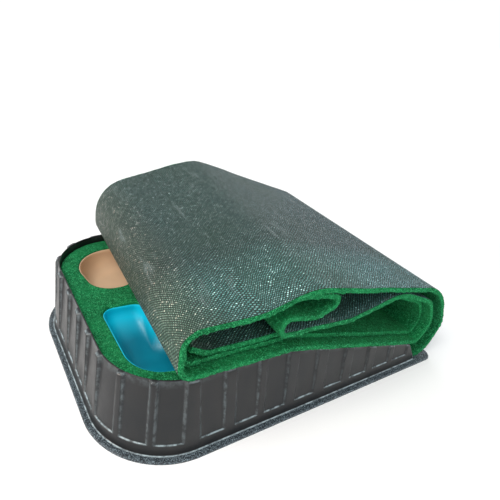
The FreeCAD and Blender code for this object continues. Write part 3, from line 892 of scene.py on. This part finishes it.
STEP = 1.5
near_line, stretch_counts = rounded(route(TOP_NEAR, FREE_END_NEAR), STEP)
far_line, _ = rounded(route(TOP_FAR, FREE_END_FAR), STEP, counts=stretch_counts)
near_line += near_corner_ease(near_line)
far_line = crown_ease(far_line)
near_line = softened(near_line, 1.5)
far_line = softened(far_line, 1.5)
near_normal = left_normals(near_line)
far_normal = left_normals(far_line)
path = lengths((near_line + far_line) / 2.0)


def index_near(x, z):
    """First station on the near line that comes closest to a point."""
    return int(np.argmin(np.hypot(near_line[:, 0] - x, near_line[:, 1] - z)))


rising = index_near(12.5, 160.0)
easing = path[rising] + 90.0
sideways = INNER_SHIFT * smooth_step((path - path[rising] + 5.0) / (easing - path[rising]))

BACKING_SHARE = 1.0 - 1.5 / RUNNER_HALF_WIDTH
WRAP_WIDTH = 1.3
WRAP_HEIGHT = 0.25


def strip(first, last, low, high, fuzz, seed):
    """Rings of a turf layer between two stations: closed sections from near edge to far edge."""
    stations = np.arange(first, last + 1)
    edge = np.array([0.0, 1.25, 1.4, 3.0, 6.0, 11.0, 18.0])
    middle = np.linspace(27.0, 2.0 * RUNNER_HALF_WIDTH - 27.0, 28)
    across = np.concatenate([edge, middle, 2.0 * RUNNER_HALF_WIDTH - edge[::-1]]) - RUNNER_HALF_WIDTH
    across = across if fuzz else across * BACKING_SHARE
    wrapped = fuzz & (np.abs(across) > RUNNER_HALF_WIDTH - WRAP_WIDTH)
    rows = [(y, WRAP_HEIGHT if wraps else low) for y, wraps in zip(across, wrapped)]
    heights = np.linspace(WRAP_HEIGHT, high, 7)[1:-1] if fuzz else []
    rows += [(RUNNER_HALF_WIDTH, h) for h in heights]
    rows += [(y, high) for y in across[::-1]]
    rows += [(-RUNNER_HALF_WIDTH, h) for h in heights[::-1]]
    rows = np.array(rows)
    share = (rows[:, 0] + RUNNER_HALF_WIDTH) / (2.0 * RUNNER_HALF_WIDTH)
    share = share[None, :, None]
    place = near_line[stations][:, None, :] * (1.0 - share) + far_line[stations][:, None, :] * share
    normal = near_normal[stations][:, None, :] * (1.0 - share) + far_normal[stations][:, None, :] * share
    normal /= np.linalg.norm(normal, axis=2)[:, :, None]
    y = rows[:, 0][None, :] + sideways[stations][:, None]
    height = np.repeat(rows[:, 1][None, :], len(stations), axis=0)
    ways = np.repeat(path[stations][:, None], len(rows), axis=1)
    where = np.stack([ways, np.repeat(rows[:, 0][None, :], len(stations), axis=0), height * 2.0], axis=2)
    flat = where.reshape(-1, 3)
    slow = rough(flat * np.array([1.0, 0.02, 0.0]), 34.0, 5.0).reshape(height.shape)
    from_edge = RUNNER_HALF_WIDTH - np.abs(rows[:, 0])[None, :]
    y = y + slow * 0.9 * np.sign(rows[:, 0])[None, :] * np.clip(1.0 - from_edge / 20.0, 0.0, 1.0)
    if fuzz:
        fine = rough(flat, 2.1, seed).reshape(height.shape)
        clump = rough(flat, 4.6, seed + 9.0).reshape(height.shape)
        at_edge = np.clip(1.0 - from_edge / 4.0, 0.0, 1.0)
        tip = np.clip((rows[:, 1][None, :] - low) / (high - low), 0.0, 1.0)
        height = height + tip * (0.22 + 0.62 * at_edge) * (0.6 * clump + 0.6 * fine) - 0.25 * tip
        bulge = 0.55 * np.sin(math.pi * tip) + 0.35 * tip
        y = y + np.sign(rows[:, 0])[None, :] * at_edge * (bulge - 0.5 + 0.55 * fine + 0.45 * clump) * (
            from_edge < 0.5)
    xz = place + normal * height[:, :, None]
    rings = np.stack([xz[:, :, 0], y, xz[:, :, 1]], axis=2)
    return rings, np.stack([ways, y], axis=2)


def runner_piece(name, first, last, low, high, material, body, nodes):
    """The runner's backing or pile between two stations, from a low to a high face."""
    fuzz = material is PILE
    rings, uv = strip(first, last, low, high, fuzz, 2.0)
    count = rings.shape[1]
    piece = add_piece(name, rings.reshape(-1, 3), loft_faces(len(rings), count), uv.reshape(-1, 2),
                      sharp_deg=70.0 if fuzz else 40.0)
    return finish_piece(piece, material, body, nodes)


# ---- putting it together ------------------------------------------------------------------------------
VIEW_PLACE = (-0.331784, -0.443626, 0.423877)
VIEW_TURNS = (-0.616711962, 0.507429850, 0.144737618)
VIEW_LENS = 32.397
VIEW_SHIFT = (0.02714, 0.01714)


def make_camera():
    """The viewpoint: where it is, how it is turned, and its slight shift."""
    azimuth, elevation, roll = VIEW_TURNS
    back = Vector((math.sin(azimuth) * math.cos(elevation), -math.cos(azimuth) * math.cos(elevation),
                   math.sin(elevation)))
    right = (-back).cross(Vector((0.0, 0.0, 1.0))).normalized()
    up = right.cross(-back)
    turned_right = math.cos(roll) * right + math.sin(roll) * up
    turned_up = math.cos(roll) * up - math.sin(roll) * right
    data = bpy.data.cameras.new("view")
    data.sensor_width = 36.0
    data.lens = VIEW_LENS
    data.shift_x, data.shift_y = VIEW_SHIFT
    camera = bpy.data.objects.new("view", data)
    bpy.context.scene.collection.objects.link(camera)
    axes = Matrix((turned_right, turned_up, back)).transposed()
    camera.matrix_world = Matrix.Translation(VIEW_PLACE) @ axes.to_4x4()
    bpy.context.scene.camera = camera


def make_light(name, place, target, size, power, colour):
    data = bpy.data.lights.new(name, "AREA")
    data.shape = "RECTANGLE"
    data.size, data.size_y = size
    data.energy = power
    data.color = colour
    light = bpy.data.objects.new(name, data)
    bpy.context.scene.collection.objects.link(light)
    light.location = place
    light.rotation_euler = (Vector(target) - Vector(place)).to_track_quat("-Z", "Y").to_euler()


PAPER_WHITE = (0.97, 0.99, 1.0)
FLOOR_HALF_SIZE = 40.0
# Soft lights: name, place, target, size, power and colour.
LIGHTS = [("key", (-0.9, -0.25, 1.4), (0.0, 0.0, 0.1), (0.9, 0.7), 13.0, (1.0, 0.99, 0.97)),
          ("left", (-1.3, -0.1, 0.42), (-0.1, 0.0, 0.06), (0.35, 0.5), 6.5, (1.0, 0.80, 0.68)),
          ("front", (0.35, -1.5, 0.75), (0.05, 0.0, 0.1), (0.9, 0.6), 3.0, (0.97, 0.98, 1.0)),
          ("back", (0.9, 1.3, 1.1), (0.0, 0.0, 0.1), (1.0, 0.7), 4.0, (0.92, 0.97, 1.0))]


def make_world():
    """Pale surroundings, brighter toward the horizon than overhead."""
    world = bpy.data.worlds.new("studio")
    bpy.context.scene.world = world
    world.use_nodes = True
    nodes, links = world.node_tree.nodes, world.node_tree.links
    background = nodes["Background"]
    height = nodes.new("ShaderNodeSeparateXYZ")
    links.new(nodes.new("ShaderNodeTexCoord").outputs["Generated"], height.inputs[0])
    strength = nodes.new("ShaderNodeMapRange")
    for socket, value in zip(strength.inputs[1:5], (0.22, 0.5, 1.04, 0.72)):
        socket.default_value = value
    links.new(height.outputs[2], strength.inputs[0])
    background.inputs["Color"].default_value = (*PAPER_WHITE, 1.0)
    links.new(strength.outputs[0], background.inputs["Strength"])


def make_floor():
    """A pale floor that runs out to the horizon and brightens away from the object."""
    mesh = bpy.data.meshes.new("floor")
    size = FLOOR_HALF_SIZE
    mesh.from_pydata([(-size, -size, 0.0), (size, -size, 0.0), (size, size, 0.0), (-size, size, 0.0)], [],
                     [(0, 1, 2, 3)])
    paper = Paint("floor_paper", Roughness=0.9, Specular_IOR_Level=0.1, Emission_Color=(*PAPER_WHITE, 1.0))
    tone = paper.ramp(paper.noise(3.0, 2.0), [(0.3, 0.93), (0.7, 0.94)])
    away = paper.add("VectorMath", "Value", {0: paper.place()}, operation="LENGTH")
    glow = paper.fade(away, 0.7, 2.2, 0.06, 0.42)
    mesh.materials.append(paper.use(Base_Color=tone, Emission_Strength=glow))
    floor = bpy.data.objects.new("floor", mesh)
    bpy.context.scene.collection.objects.link(floor)


def make_studio():
    bpy.context.scene.view_settings.view_transform = "Standard"
    make_world()
    for light in LIGHTS:
        make_light(*light)
    make_floor()


make_camera()
make_studio()
tray_shell()
trap_bowl("water_bowl", WATER_TRAP, WATER_CENTRE, BLUE, "water_trap_liner")
trap_bowl("sand_bowl", SAND_TRAP, SAND_CENTRE, SAND, "sand_trap_liner")
hole_cup()
deck_backing, deck_pile, deck_width, deck_length, deck_area = deck_turf()

mid_riser = index_near(247.0, 50.0)
over_shoulder = index_near(186.0, 131.0)
ROLLED = ["top_run", "left_fold", "bottom_run", "right_loop", "second_run", "s_bend", "rising_bend",
          "tucked_run", "inner_left_fold", "third_run", "inner_right_loop", "fourth_run", "free_end"]
FOOT_FOLD = ("tray", "riser", (0.2215, 0.0, 0.0055), (0.2365, 0.0, 0.0155))
SHOULDER_FOLD = ("riser", "roll", (0.2390, 0.0, 0.0765), (0.2290, 0.0, 0.0990))
# Each stretch of the runner: name, stations, replaced nodes, body, fold and what it rests on.
STRETCHES = [("foot_turf", 0, mid_riser, ["foot"], None, FOOT_FOLD, "tray_shell"),
             ("shoulder_turf", mid_riser, over_shoulder, ["riser"], None, SHOULDER_FOLD, "foot_turf_backing"),
             ("rolled_turf", over_shoulder, len(path) - 1, ROLLED, "roll", None, "tray_shell")]
for name, first, last, nodes, body, fold, below in STRETCHES:
    backing = runner_piece(name + "_backing", first, last, 0.0, BACKING, WOVEN, body,
                           [n + "_backing" for n in nodes])
    pile = runner_piece(name + "_pile", first, last, BACKING, TURF, PILE, body,
                        [n + "_pile" for n in nodes])
    if fold:
        for layer in (backing, pile):
            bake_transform(layer)
